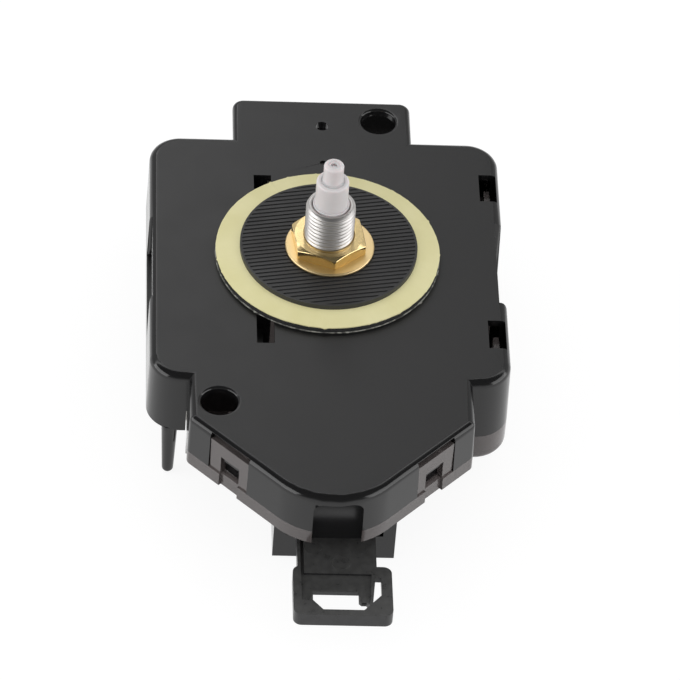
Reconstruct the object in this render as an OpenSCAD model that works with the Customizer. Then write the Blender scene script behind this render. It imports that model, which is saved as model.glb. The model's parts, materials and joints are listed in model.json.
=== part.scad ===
// Pendulum clock movement, lying on its back.
// z = 0 is the dial side of the case and the shaft axis is the Z axis, shafts upwards.
// +Y points to the hanging tab, -Y to the pendulum hanger, and +X is right seen from the dial.

/* [Case] */
// Width of the case across its straight sides
case_w = 56.6; // [55:0.2:60]
// Shaft axis to the top edge of the case
case_top = 27.55; // [26:0.05:30]
// Shaft axis to the shoulder edge of the case
case_bottom = 28.3; // [27.5:0.1:30]
// Radius of the case's corners
corner_r = 5.1; // [4:0.1:6]
// Depth of the front case's side walls
wall_depth = 11.6; // [10:0.1:13]
// Depth of the whole case, dial side to back
case_depth = 17; // [16.5:0.1:19]
// Thickness of the case walls and plates
wall = 1.2; // [1:0.1:1.4]
// Fillet along the rim of the dial side
edge_r = 1.3; // [0.8:0.1:1.5]
// Widening of the side walls per millimetre of depth
draft = 0.02; // [0:0.005:0.03]
// Depth of the finger recess in the left and in the right side wall
recess_depth = [0.5, 1.25];
// Lower and upper end of the finger recesses
recess_y = [-10, 8.3];
// Depth at which the left finger recess ends, above the wall's lower edge
recess_end = 9; // [7:0.5:10]
// Fillet along the back edge of the cover
back_r = 1.4; // [0.8:0.1:1.8]

/* [Lower section] */
// Half width of the lower section
low_half = 22.1; // [20:0.1:23]
// Distance of the slanted sides from the axis, along X plus along Y
slant_sum = 59.1; // [57:0.1:61]
// Radius of the tip
tip_r = 12; // [10:0.5:14]
// Depth of the front case's walls in the lower section
low_depth = 7.45; // [6.5:0.05:8]
// Depth of the whole lower section
low_back = 9.9; // [9.4:0.1:10.5]
// Width of the recess in the tip
notch_w = 7.7; // [5:0.1:9]
// Sideways place of the recess in the tip
notch_x = 0.65; // [-1:0.05:1]
// Place of the latches on the slanted sides, measured along X
latch_at = 16; // [15:0.1:17]

/* [Hanging tab] */
// Width of the tab
tab_w = 29.1; // [24:0.1:32]
// Shaft axis to the top edge of the tab
tab_top = 36.95; // [35.5:0.05:40]
// Radius of the tab's corners
tab_r = 1.8; // [1:0.1:2.5]
// Depth of the stiffening ribs behind the tab
tab_rib_depth = 6.5; // [4:0.5:8]
// Radius of the fixing hole in the tab
tab_hole_r = 2.8; // [2:0.1:3]
// Position of the fixing hole in the tab
tab_hole = [9.1, 32.1];
// Rounding of the rims of the fixing holes
hole_rim = 0.5; // [0.2:0.1:0.6]
// Radius of the small centre hole in the tab
pilot_r = 1.05; // [0.5:0.05:1.5]
// Radius of the fixing hole in the lower section
low_hole_r = 2.85; // [2:0.05:3]
// Position of the fixing hole in the lower section
low_hole = [-17.5, -33.35];

/* [Battery bay] */
// Width of the bay across the cell
bay_w = 16.7; // [16.3:0.1:17]
// Reach of the contact springs into the bay
contact_reach = 1.1; // [0.6:0.1:1.3]
// Thickness of the contact strips
strip_t = 0.3; // [0.2:0.05:0.4]

/* [Shafts and dial fixing] */
// Radius of the threaded bush
bush_r = 3.95; // [3.8:0.05:4]
// Height of the threaded bush above the dial side
bush_top = 11.15; // [9:0.05:13]
// Radius of the hour hand's seat
hour_r = 2.6; // [2.5:0.05:2.7]
// Height of the hour tube above the bush
hour_rise = 5; // [3:0.1:6]
// Radius of the minute hand's seat
minute_r = 1.6; // [1.55:0.01:1.62]
// Height of the minute shaft above the hour tube
minute_rise = 3.4; // [3:0.1:6]
// Radius of the foam pad
pad_r = 18; // [16:0.5:19]
// Thickness of the foam pad
pad_t = 0.95; // [0.6:0.05:1.5]
// Thickness of the release paper on the pad
liner_t = 0.25; // [0.1:0.05:0.3]
// Radius of the rubber washer
rubber_r = 14.15; // [12:0.05:15]
// Thickness of the rubber washer
rubber_t = 0.86; // [0.8:0.02:1.4]
// Spacing of the ridges on the rubber washer
ridge_pitch = 0.85; // [0.8:0.05:1.5]
// Turn of the ridges from the X axis
ridge_turn = 10; // [-45:1:45]
// Where the rubber washer lies, a little off the axis
rubber_at = [0.13, 0.35];
// Radius of the brass washer
washer_r = 7.1; // [6.8:0.1:8]
// Where the brass washer lies, a little off the axis
washer_at = [0.24, -0.35];
// Thickness of the brass washer
washer_t = 0.6; // [0.4:0.05:1]
// Width across the flats of the nut
nut_af = 11; // [10.8:0.1:12]
// Height of the nut
nut_h = 2; // [1.5:0.1:2.5]
// Turn of the nut on the bush
nut_turn = -82; // [-90:1:90]

/* [Gear train] */
// Distance of the third and intermediate arbors from the shaft axis
train_distance = 8.4; // [8.3:0.05:8.6]
// Distance of the motion wheel from the shaft axis
motion_distance = 7.2; // [7:0.05:7.3]
// Distance of the rotor from the intermediate arbor
rotor_distance = 4.4; // [4.3:0.05:4.5]
// Thickness of the dial-side wheels
motion_t = 1; // [0.8:0.05:1.05]
// Thickness of the train wheels
train_t = 0.7; // [0.5:0.05:0.75]
// Free space between wheels that pass over each other
wheel_gap = 0.3; // [0.25:0.01:0.32]
// Radial running clearance of shafts and arbors
run_gap = 0.05; // [0.02:0.01:0.08]
// Radius of the rotor magnet
magnet_r = 2; // [1.6:0.1:2.1]

/* [Pendulum drive] */
// Sideways offset of the pendulum's axis
pend_x = 0.9; // [0:0.1:1]
// Shaft axis to the pendulum's pivot
pivot_y = -33; // [-33.5:0.1:-32.8]
// Radius of the pivot pin
pivot_r = 0.75; // [0.6:0.05:0.9]
// Width of the pendulum housing
housing_w = 19; // [18.6:0.1:20]
// Lower face of the pendulum housing
housing_y = -46.7; // [-48:0.1:-46.5]
// Depth of the pendulum housing from the dial side
housing_depth = 20.5; // [20:0.1:21.5]
// Width of the pendulum arm
arm_w = 12.2; // [11:0.1:12.6]
// Depth of the arm's front surface
arm_z = -13; // [-13.2:0.1:-12.8]
// Thickness of the arm and of the hanger
arm_t = 2.4; // [2:0.1:2.6]
// Swing of the pendulum to each side
swing_max = 5; // [2:0.5:5]
// Radius of the drive magnet in the arm
drive_magnet_r = 3.5; // [3:0.1:3.6]
// Gap between the magnet's collar on the arm and the housing wall
magnet_gap = 0.4; // [0.3:0.1:0.8]

/* [Hanger] */
// Width of the hanger frame
hanger_w = 15.25; // [14:0.05:17]
// Upper edge of the hanger frame
hanger_top = -55.7; // [-56.2:0.1:-55]
// Lower edge of the hanger frame
hanger_bottom = -65.9; // [-68:0.1:-65.6]
// Corner radius of the hanger frame
hanger_r = 1.3; // [1:0.1:2]
// Bar of the frame under the window
seat_bar = 1.15; // [0.9:0.05:1.6]
// Bar of the frame beside the window
side_bar = 1.7; // [1:0.05:2.2]

/* [Hidden] */

// Segments of fine circles and of hulled corners
$fn = 64;
hull_fn = 72;
// Overcut for holes that break through a surface
eps = 0.5;
// Fit between fixed pieces that plug into each other
fit = 0.1;

// Case
half_w = case_w / 2;
inner_half = half_w - wall;
floor_z = -wall;
back_in = -(case_depth - wall);
bay_left = -inner_half;
bay_right = bay_left + bay_w;
part_x = bay_right + wall;
inner_top = case_top - wall;
inner_bottom = -(case_bottom - wall);
low_in = -(low_back - wall);
tip_y = -(slant_sum - tip_r * sqrt(2));
low_corner_r = 1.2;
step_half = low_half + draft * low_depth + fit;
tab_x = -0.15;
skin = 1;
pocket_depth = wall + 0.1;
latch_w = 8.2;
tip_back = tip_y - tip_r + pocket_depth;
latch_top = -1.35;
latch_gap = 1;
latch_bar = 2.5;
latch_win = 3.9;
latch_win_x = 0.2;
window = [2.8, 6.2];
window_y = [[15.3, -17.25], [16.6, -17.25]];
window_x = [part_x - 0.9, inner_half - 0.7];
catch_z = [-9, -5];
pocket_floor = 3;
finger_t = 0.9;
leg_xy = [-24.8, -27.0];
leg_r = [1.3, 0.92];
leg_end = -22.05;

// Depths of the wheels, each from the one before
flange_t = 0.8;
flange_bottom = floor_z - flange_t;
hour_z = flange_bottom - wheel_gap;
motion_z = hour_z - motion_t - wheel_gap;
plate_z = motion_z - motion_t - 0.5;
plate_t = 1;
plate_back = plate_z - plate_t;
centre_z = plate_back - 0.4;
third_z = centre_z - train_t - 2 * wheel_gap;
second_z = third_z - train_t - 2 * wheel_gap;
intermediate_z = second_z - train_t - 2 * wheel_gap;
stator_z = intermediate_z - train_t - 1;
stator_t = 0.9;
boss_z = stator_z - stator_t - 1.2;
pivot_end = boss_z - 0.7;
rise = 0.1;

// Teeth, directions and places of the arbors; the wheels stay clear of the partition
train = min(train_distance, (-part_x - 0.4) / 0.91);
pinion_n = 8;
intermediate_n = 32;
wheel_n = 60;
centre_n = 64;
minute_n = 12;
motion_n = 36;
setting_n = 12;
motion_pinion_n = 10;
hour_n = 40;
third_angle = 60;
intermediate_angle = -15;
rotor_angle = -40;
motion_angle = -75;
setting_angle = -60;
third_xy = train * [cos(third_angle), sin(third_angle)];
intermediate_xy = train * [cos(intermediate_angle), sin(intermediate_angle)];
rotor_xy = intermediate_xy + rotor_distance * [cos(rotor_angle), sin(rotor_angle)];
motion_xy = motion_distance * [cos(motion_angle), sin(motion_angle)];
motion_m = 2 * motion_distance / (minute_n + motion_n);
hour_m = 2 * motion_distance / (motion_pinion_n + hour_n);
setting_distance = motion_m * (motion_n + setting_n) / 2;
setting_xy = motion_xy + setting_distance * [cos(setting_angle), sin(setting_angle)];
centre_m = 2 * train / (pinion_n + centre_n);
wheel_m = 2 * train / (pinion_n + wheel_n);
rotor_m = 2 * rotor_distance / (pinion_n + intermediate_n);
arbor_r = 0.5;
pivot_tip_r = 0.3;
motion_post_r = 0.8;
setting_r = 1;
setting_tip_r = 0.6;
setting_boss_z = floor_z - 1.2;
knob_front = -case_depth - 0.4;
knob_back = knob_front - 2.3;
knob_r = 4.6;

// Shafts from the inside out, and the stack on the bush
second_r = 0.45;
minute_bore = second_r + run_gap;
minute_body_r = minute_r + 0.2;
foot_r = bush_r - 0.25;
hour_bore = minute_body_r + run_gap;
hour_body_r = hour_r + 0.3;
bush_bore = hour_body_r + run_gap;
tail_r = 1.25;
hour_top = bush_top + hour_rise;
minute_top = hour_top + minute_rise;
liner_z = pad_t;
rubber_z = pad_t + liner_t;
washer_z = rubber_z + rubber_t;
nut_z = washer_z + washer_t;
nut_top = nut_z + nut_h;
rubber_bore = bush_r + 0.45;
rubber_rim = 0.35;
ridge_depth = 0.14;
washer_bore = bush_r + 0.5;

// Coil, stator and circuit board
plate_left = part_x + 1;
plate_right = inner_half - recess_depth[1] - 0.25;
coil_x = plate_right - 5.6;
coil_y = rotor_xy[1] - 4;
coil_len = 13;
coil_r = 2.9;
core_half = coil_len / 2 + 2;
core_w = 2.4;
core_t = 1.2;
core_top = stator_z + core_t;
bobbin_r = 1.6;
flange = 0.6;
rotor_magnet_z = stator_z + 0.3;
rotor_magnet_t = 1.5;
post_r = 1.5;
peg_r = 0.7;
plate_posts = [[plate_left + 1.8, 15.5], [plate_right - 2.2, 15.5], [plate_left + 1.8, -15.5],
  [plate_right - 2.2, -20.3]];
board_z = -9;
board_t = 1;
board_right = inner_half - 1.3;
board_left = board_right - 13.5;
board_high = inner_top - 0.8;
board_low = board_high - 5.9;
board_posts = [[board_left + 2.1, board_high - 2.3], [board_right - 1.9, board_high - 2.3]];
pend_board_z = -2.4;
pend_board_y = pivot_y + 0.4;
pend_posts = [[pend_x - 12.4, pend_board_y], [pend_x + 12.4, pend_board_y]];
contact_x = [bay_left + 3.8, bay_right - 1.6];

// Pendulum housing, arm and hanger
housing_left = pend_x - housing_w / 2;
housing_right = pend_x + housing_w / 2;
hub_r = 2.2;
housing_top_y = pivot_y + hub_r + wall + 0.3;
housing_peg_r = 0.5;
peg_high = housing_top_y - 1.9;
peg_low = max(housing_y + 3.2, housing_right - 0.8 + (wall + 0.9) * sqrt(2) - slant_sum);
housing_pegs = [for (x = [housing_left + 0.8, housing_right - 0.8], y = [peg_high, peg_low]) [x, y]];
slot_room = (pivot_y - housing_y) * sin(swing_max) + 0.25;
slot_gap = 0.3;
hub_front = arm_z + 1;
hub_back = arm_z - arm_t - 1.4;
collar_t = 0.5;
magnet_y = housing_y + wall + magnet_gap + collar_t + drive_magnet_r;
magnet_front = hub_front + 0.9;
magnet_t = 3;
arm_left = pend_x - arm_w / 2;
hanger_x = arm_left - 0.75;
hanger_right = hanger_x + hanger_w;
window_left = hanger_x + 3;
window_right = hanger_right - side_bar;
window_bottom = hanger_bottom + seat_bar;
window_side = window_bottom + 1.9;
seat_left = window_left + 1.55;
seat_right = window_left + 7.8;
corner_y = window_bottom + 3.15;
slot_top = hanger_top - 2.25;
pan_bottom = window_bottom + 3.95;
tongue = [window_left + 7.05, window_left + 9.2];
tongue_end = window_bottom + 1.75;
pan_top = hanger_top - 1.6;
pan_z = arm_z - 0.35;
plate_back_z = arm_z - 1.1;
rim_t = 0.9;
coil_top = -2.2;
sensing_r = min(6.2, magnet_y - (tip_back + skin) - 0.3);

// Height of the window's slanted corner at a place along X
function slant(x) = window_bottom + (x - seat_right) * (corner_y - window_bottom) / (window_right - seat_right);

// Outline of one tooth, a trapezoid on the pitch circle with a narrowed tip
function tooth(n, m, i) =
  let (pitch = 360 / n, c = i * pitch, root = m * (n / 2 - 1.05), top = m * (n / 2 + 0.72))
  [
    root * [cos(c - pitch * 0.34), sin(c - pitch * 0.34)],
    m * n / 2 * [cos(c - pitch * 0.215), sin(c - pitch * 0.215)],
    top * [cos(c - pitch * 0.1), sin(c - pitch * 0.1)],
    top * [cos(c + pitch * 0.1), sin(c + pitch * 0.1)],
    m * n / 2 * [cos(c + pitch * 0.215), sin(c + pitch * 0.215)],
    root * [cos(c + pitch * 0.34), sin(c + pitch * 0.34)]
  ];

// Turn of a wheel that meshes, in direction phi, with a wheel of na teeth turned by a
function mesh(phi, a, na, nb) = phi + 180 - 360 / nb * (0.5 - (phi - a) * na / 360);

motion_turn = mesh(motion_angle, motion_angle, minute_n, motion_n);
hour_turn = mesh(motion_angle + 180, 0, motion_pinion_n, hour_n);
setting_turn = mesh(setting_angle, motion_turn, motion_n, setting_n);
centre_turn = mesh(third_angle + 180, third_angle + 180, pinion_n, centre_n);
third_turn = mesh(third_angle, third_angle, pinion_n, wheel_n);
second_turn = mesh(intermediate_angle + 180, intermediate_angle + 180, pinion_n, wheel_n);
intermediate_turn = mesh(rotor_angle + 180, rotor_angle + 180, pinion_n, intermediate_n);

// Straight round bar between two depths
module bar(z0, z1, r) translate([0, 0, min(z0, z1)]) cylinder(h = abs(z1 - z0), r = r);

// Round hole between two depths, a little longer at both ends
module hole(z0, z1, r) translate([0, 0, min(z0, z1) - eps]) cylinder(h = abs(z1 - z0) + 2 * eps, r = r);

// Box between two corners
module block(a, b) translate([min(a[0], b[0]), min(a[1], b[1]), min(a[2], b[2])])
  cube([abs(b[0] - a[0]), abs(b[1] - a[1]), abs(b[2] - a[2])]);

module ring(z, t, outer, inner) difference() {
  bar(z, z + t, outer);
  hole(z, z + t, inner);
}

module at(p) translate([p[0], p[1], 0]) children();

// Rectangle with round corners, drawn flat
module rounded(x0, y0, x1, y1, r) {
  translate([x0 + r, y0]) square([x1 - x0 - 2 * r, y1 - y0]);
  translate([x0, y0 + r]) square([x1 - x0, y1 - y0 - 2 * r]);
  for (x = [x0 + r, x1 - r], y = [y0 + r, y1 - r]) translate([x, y]) circle(r);
}

// Slab between two depths from a flat drawing
module slab(z0, z1) translate([0, 0, min(z0, z1)]) linear_extrude(abs(z1 - z0)) children();

module gear(n, m, turn, z, t, bore = 0) difference() {
  slab(z - t, z) rotate(turn) polygon([for (i = [0:n - 1]) each tooth(n, m, i)]);
  if (bore > 0) hole(z - t, z, bore);
}

// Gear with five round holes between its rim and its hub
module wheel(n, m, turn, z, t, bore, hub) {
  rim = m * (n / 2 - 3.4);
  web = (rim + hub) / 2;
  pierced = min((rim - hub) / 2 - 0.5, web * sin(36) - 0.5);
  difference() {
    gear(n, m, turn, z, t, bore);
    if (pierced > 0.6) for (i = [0:4]) rotate(72 * i + 20) at([web, 0]) hole(z - t, z, pierced);
  }
}

// Plan of the lower section, drawn in by a distance
module low_shape(in, top) {
  x = low_half - in;
  y = -(slant_sum - in * sqrt(2) - x);
  c = low_corner_r - in;
  k = c > 0 ? c * tan(22.5) : 0;
  t = (tip_r - in) * sin(45);
  polygon([
    [-x, top], [-x, y + k], [-x + k * sin(45), y - k * sin(45)], [-t, tip_y - t],
    [t, tip_y - t], [x - k * sin(45), y - k * sin(45)], [x, y + k], [x, top]
  ]);
  translate([0, tip_y]) circle(tip_r - in);
  if (c > 0) for (s = [-1, 1]) translate([s * (x - c), y + k]) circle(c);
}

// Plan of the gear side and of the battery bay, clear of the finger recesses
module gear_cavity() difference() {
  union() {
    rounded(part_x, inner_bottom, inner_half, inner_top, corner_r - wall);
    translate([part_x, inner_bottom]) square([10, inner_top - inner_bottom]);
  }
  translate([inner_half - recess_depth[1], recess_y[0] - 1]) square([2 * wall, recess_y[1] - recess_y[0] + 2]);
}
module bay_cavity() difference() {
  union() {
    rounded(bay_left, inner_bottom, bay_right, inner_top, 2.9);
    translate([bay_right - 8, inner_bottom]) square([8, inner_top - inner_bottom]);
  }
  translate([bay_left - wall, recess_y[0] - 1]) square([recess_depth[0] + wall, recess_y[1] - recess_y[0] + 2]);
}

// Post with a filleted top and drafted side; the hull of such posts is a moulded block
module corner_post(r, depth, e) rotate_extrude($fn = hull_fn) polygon(concat(
  [[0, 0], [r - e, 0]],
  [for (a = [18:18:90]) [r - e + e * sin(a), -e + e * cos(a)]],
  [[r + depth * draft, -depth], [0, -depth]]
));

module case_block() hull() {
  for (x = [-half_w + corner_r, half_w - corner_r], y = [-case_bottom + corner_r, case_top - corner_r])
    at([x, y]) corner_post(corner_r, wall_depth, edge_r);
}

module low_block() hull() {
  x = low_half - low_corner_r;
  for (s = [-1, 1], y = [-20, -(slant_sum - low_corner_r * sqrt(2) - x)])
    at([s * x, y]) corner_post(low_corner_r, low_depth, low_corner_r - 0.05);
  at([0, tip_y]) corner_post(tip_r, low_depth, edge_r);
}

module tab_block() hull() {
  for (s = [-1, 1], y = [case_top - 4, tab_top - tab_r])
    at([tab_x + s * (tab_w / 2 - tab_r), y]) corner_post(tab_r, wall, wall - 0.3);
}

// Back half of the case: such posts, straight down and filleted at the back
module back_block() hull() {
  r = corner_r + wall_depth * draft;
  for (x = [-half_w + corner_r, half_w - corner_r], y = [-case_bottom + corner_r, case_top - corner_r])
    at([x, y]) rotate_extrude($fn = hull_fn) polygon(concat(
      [[0, -wall_depth], [r, -wall_depth]],
      [for (a = [0:18:90]) [r - back_r + back_r * cos(a), -case_depth + back_r - back_r * sin(a)]],
      [[0, -case_depth]]
    ));
}

// Finger recess of the right side wall, with round ends, down to a depth
module finger_recess(depth, z1) {
  r = min(0.7, depth - 0.1);
  low = recess_y[0];
  high = recess_y[1];
  translate([half_w, 0, z1]) linear_extrude(eps - z1) polygon(concat(
    [[-depth, low]], [for (a = [90:-30:0]) [-r + r * cos(a), low - r + r * sin(a)]],
    [[3, low - r], [3, high + r]], [for (a = [0:30:90]) [-r + r * cos(a), high + r - r * sin(a)]],
    [[-depth, high]]
  ));
}

// Through hole of the case with a rounded rim on the dial side
module fixing_hole(p, r) at(p) {
  hole(0, -wall, r);
  rotate_extrude() polygon(concat(
    [[0, eps], [r + hole_rim, eps]],
    [for (a = [0:18:90]) [r + hole_rim * (1 - sin(a)), hole_rim * (cos(a) - 1)]],
    [[0, -hole_rim]]
  ));
}

// Rounded upper end of a bar
module round_end(z, r, e) rotate_extrude() polygon(concat(
  [[0, z - e - 0.1], [r, z - e - 0.1]],
  [for (a = [0:15:90]) [r - e + e * cos(a), z - e + e * sin(a)]],
  [[0, z]]
));

// Places of the two latches, with x along the slanted side and y outwards
module at_latches() for (s = [0, 1]) mirror([s, 0, 0])
  translate([latch_at, -(slant_sum - latch_at), 0]) rotate(-135) children();

// Recess in the tip, with round upper corners, grown by a distance on its inner sides
module tip_recess(grow, z1) {
  x0 = notch_x - notch_w / 2 - grow;
  translate([0, tip_back + grow, 0]) rotate([90, 0, 0]) linear_extrude(pocket_depth + grow + 3) {
    rounded(x0, -5, x0 + notch_w + 2 * grow, -1.5 + grow, 1.7);
    translate([x0, z1]) square([notch_w + 2 * grow, -3 - z1]);
  }
}

module front_case() color([0.16, 0.16, 0.165]) {
  difference() {
    union() {
      case_block();
      low_block();
      tab_block();
      // Partition between the battery bay and the gears
      block([bay_right, inner_bottom + fit, -wall_depth + 1], [part_x, inner_top - fit, back_in]);
      // Ribs behind the tab
      for (s = [-1, 1]) block([tab_x + s * (tab_w / 2 - 1), case_top - 1, -0.6],
        [tab_x + s * (tab_w / 2 - 2), tab_top - 0.6, -tab_rib_depth]);
      block([tab_x - tab_w / 2 + 1, tab_top - 1.6, -0.6], [tab_x + tab_w / 2 - 1, tab_top - 0.6, -tab_rib_depth]);
    }
    // Hollows of the gear side, the battery bay and the lower section
    slab(-case_depth, floor_z) gear_cavity();
    difference() {
      slab(-case_depth, floor_z) bay_cavity();
      for (y = window_y[0]) block([window_x[0] - window[0] / 2 - skin, y - window[1] / 2 - skin, 0],
        [bay_right + eps, y + window[1] / 2 + skin, -pocket_floor - skin]);
    }
    difference() {
      slab(-case_depth, floor_z) low_shape(wall, -case_bottom);
      at_latches() block([-latch_w / 2 - skin, -pocket_depth - skin, 0], [latch_w / 2 + skin, eps, -case_depth]);
      tip_recess(skin, -case_depth);
    }
    // Pockets of the latches and the recess in the tip
    at_latches() block([-latch_w / 2, -pocket_depth, latch_top + latch_gap], [latch_w / 2, 3, -case_depth]);
    tip_recess(0, -case_depth);
    // Way from the gear side into the lower section, and room for the cover's step
    block([part_x, inner_bottom + eps, floor_z], [low_half - wall, -case_bottom - eps, -case_depth]);
    block([-step_half, inner_bottom + fit, -low_depth], [step_half, -case_bottom - 2, -case_depth]);
    // Finger recesses in the side walls
    mirror([1, 0, 0]) finger_recess(recess_depth[0], -recess_end);
    finger_recess(recess_depth[1], -case_depth);
    // Windows over the cover's snap fingers
    for (i = [0, 1], y = window_y[i]) block([window_x[i] - window[0] / 2, y - window[1] / 2, eps],
      [window_x[i] + window[0] / 2, y + window[1] / 2, -pocket_floor]);
    for (y = window_y[0])
      block([bay_right, y - window[1] / 2, -1], [part_x + 1, y + window[1] / 2, catch_z[0]]);
    for (y = window_y[1])
      block([inner_half - 1, y - window[1] / 2, -1], [window_x[1] + window[0] / 2, y + window[1] / 2, catch_z[1]]);
    // Holes, and the small dimple of the moulding
    fixing_hole(tab_hole, tab_hole_r);
    fixing_hole(low_hole, low_hole_r);
    at([tab_x, 30.6]) hole(0, -wall, pilot_r);
    at([-0.2, 21.75]) bar(eps, -0.35, 0.5);
    hole(0, -wall, foot_r + 0.02);
    // Notches in the partition for the tails of the contacts
    for (y = [inner_top - strip_t - 0.2, inner_bottom - eps])
      block([bay_right - 1, y, -7.2], [part_x + 1, y + strip_t + 0.2 + eps, -9.2]);
  }
  // Leg at the shoulder, flush with the wall
  at(leg_xy) {
    translate([0, 0, leg_end + leg_r[1]]) {
      cylinder(h = -leg_end - leg_r[1] - wall_depth + 0.1, r1 = leg_r[1], r2 = leg_r[0]);
      intersection() {
        sphere(leg_r[1]);
        bar(-2, 0.01, 2);
      }
    }
  }
  // Tongue that continues the back of the tip's recess in front of the cover
  block([notch_x - notch_w / 2 + 0.05, tip_back, -low_depth + 0.5],
    [notch_x + notch_w / 2 - 0.05, tip_back + skin - fit, -low_back + fit]);
  // Hooks that hold the latches
  at_latches() hook();
  // Posts with pegs for the middle plate and the two boards
  for (p = plate_posts) at(p) peg_post(plate_z, plate_t);
  for (p = board_posts) at(p) peg_post(board_z, board_t);
  for (p = pend_posts) at(p) peg_post(pend_board_z, board_t);
  // Guides of the contacts
  for (s = [-1, 1], x = contact_x) {
    y = s > 0 ? inner_top - strip_t - 0.05 : inner_bottom + strip_t + 0.05;
    block([x - 0.5, y, floor_z + 0.1], [x + 0.5, y - s * 0.7, -7]);
  }
  // Post of the motion wheel and bearing of the setting arbor
  at(motion_xy) bar(floor_z + 0.1, plate_z + 0.1, motion_post_r);
  at(setting_xy) difference() {
    bar(floor_z + 0.1, setting_boss_z, 1.6);
    bar(floor_z - 0.2, setting_boss_z - eps, setting_tip_r + run_gap);
  }
}

module peg_post(z, t) {
  bar(floor_z + 0.1, z, post_r);
  bar(z + 0.1, z - t - 0.4, peg_r);
}

// Wedge that the bar of a latch snaps behind
module hook() {
  w = latch_win - 0.8;
  top = latch_top - latch_bar - 0.15;
  translate([latch_win_x - w / 2, 0, 0]) rotate([90, 0, 90]) linear_extrude(w) polygon([
    [-pocket_depth - 0.1, top], [-0.45, top], [-0.45, top - 0.7], [-pocket_depth, top - 2.4],
    [-pocket_depth - 0.1, top - 2.4]
  ]);
}

// Latch of the back cover: two legs and a bar
module latch() difference() {
  block([-latch_w / 2 + fit, -pocket_depth + fit, latch_top], [latch_w / 2 - fit, -0.1, -low_back]);
  block([latch_win_x - latch_win / 2, -pocket_depth - eps, latch_top - latch_bar],
    [latch_win_x + latch_win / 2, eps, -low_back - eps]);
}

// Snap finger of the back cover; its hook points along x by s
module finger(x, y, s, catch) {
  block([x - finger_t / 2, y - 2, back_in - 0.1], [x + finger_t / 2, y + 2, catch + 2.4]);
  translate([x, y + 2, 0]) rotate([90, 0, 0]) linear_extrude(4) polygon([
    [0, catch + 0.1], [s * (finger_t / 2 + 0.6), catch + 0.1], [s * (finger_t / 2 + 0.6), catch + 0.5],
    [s * (finger_t / 2), catch + 2], [0, catch + 2]
  ]);
}

// Bearing boss with a blind hole inside the back cover
module rear_boss() difference() {
  bar(back_in - 0.1, boss_z, 1.2);
  bar(boss_z + eps, pivot_end - 0.15, pivot_tip_r + run_gap);
}

module back_cover() color([0.3, 0.27, 0.27]) {
  difference() {
    union() {
      // Skirt and floor behind the gears
      intersection() {
        back_block();
        block([bay_right, -40, -case_depth], [40, 40, -wall_depth]);
      }
      // Floor and skirt of the lower section
      slab(-low_back, -low_depth) low_shape(-draft * low_depth, inner_bottom);
      // Step between the two floors, which also ends the battery bay
      block([-low_half, -case_bottom, -low_depth], [low_half, inner_bottom, -case_depth]);
    }
    slab(back_in, 0) gear_cavity();
    block([bay_right - eps, inner_bottom, back_in], [part_x + 1, inner_top, 0]);
    difference() {
      slab(low_in, 0) low_shape(wall, -case_bottom);
      tip_recess(skin, -case_depth);
    }
    block([part_x, inner_bottom + eps, low_in], [low_half - wall, -case_bottom - eps, 0]);
    // Recess in the tip, finger recess, and the notches under the latches
    tip_recess(0, -case_depth);
    block([notch_x - notch_w / 2, tip_back - 1, 0], [notch_x + notch_w / 2, tip_back + skin + eps, -case_depth]);
    finger_recess(recess_depth[1], -case_depth - 1);
    at_latches() block([latch_win_x - latch_win / 2, -0.35, 0], [latch_win_x + latch_win / 2, 3, -case_depth]);
    // Holes of the setting arbor and of the housing's pegs
    at(setting_xy) hole(back_in, -case_depth, setting_r + run_gap);
    for (p = housing_pegs) at(p) hole(low_in, -low_back, housing_peg_r + fit);
  }
  at_latches() latch();
  for (y = window_y[0]) finger(part_x + 0.2 + finger_t / 2, y, -1, catch_z[0]);
  for (y = window_y[1]) finger(inner_half - 0.2 - finger_t / 2, y, 1, catch_z[1]);
  for (p = [[0, 0], third_xy, intermediate_xy, rotor_xy]) at(p) rear_boss();
  // Bearing of the pendulum's pivot pin
  at([pend_x, pivot_y]) ring(hub_front + 0.4, -low_back - hub_front - 0.3, 1.8, pivot_r);
}

module middle_plate() color([0.86, 0.86, 0.83]) difference() {
  union() {
    slab(plate_back, plate_z) rounded(plate_left, -18, plate_right, 18, 2.5);
    slab(plate_back, plate_z) rounded(plate_right - 7.6, -22.5, plate_right, -10, 2);
    // Posts that carry the core and the stator
    for (s = [-1, 1]) at([coil_x, coil_y + s * core_half]) {
      bar(plate_z - 0.1, core_top, 1.3);
      bar(core_top + 0.1, stator_z - stator_t - 0.4, peg_r);
    }
  }
  for (p = plate_posts) at(p) hole(plate_z, plate_back, peg_r + fit);
  for (p = [third_xy, intermediate_xy, rotor_xy]) at(p) hole(plate_z, plate_back, pivot_tip_r + run_gap);
  hole(plate_z, plate_back, minute_body_r + run_gap);
  at(setting_xy) hole(plate_z, plate_back, setting_r + run_gap);
  // Openings that lighten the plate
  slab(plate_back - eps, plate_z + eps) rounded(plate_right - 11.1, 3, plate_right - 3.6, 12, 1);
  slab(plate_back - eps, plate_z + eps) rounded(plate_left + 1.7, -12, plate_left + 5.7, -5, 1);
}

// Bush: flange inside the case, plain foot under the nut, threaded above it
module dial_bush() color([0.75, 0.75, 0.76]) difference() {
  union() {
    bar(flange_bottom, floor_z, bush_r + 0.9);
    bar(flange_bottom, nut_top, foot_r);
    bar(nut_top, bush_top - 0.4, bush_r);
    translate([0, 0, bush_top - 0.4]) cylinder(h = 0.4, r1 = bush_r, r2 = bush_r - 0.4);
  }
  hole(flange_bottom, bush_top, bush_bore);
}

module foam_pad() color([0.05, 0.05, 0.05]) ring(0, pad_t, pad_r, bush_r + 0.4);

module pad_liner() color([0.9, 0.87, 0.62]) ring(liner_z, liner_t, pad_r - 0.08, bush_r + 0.4);

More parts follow.
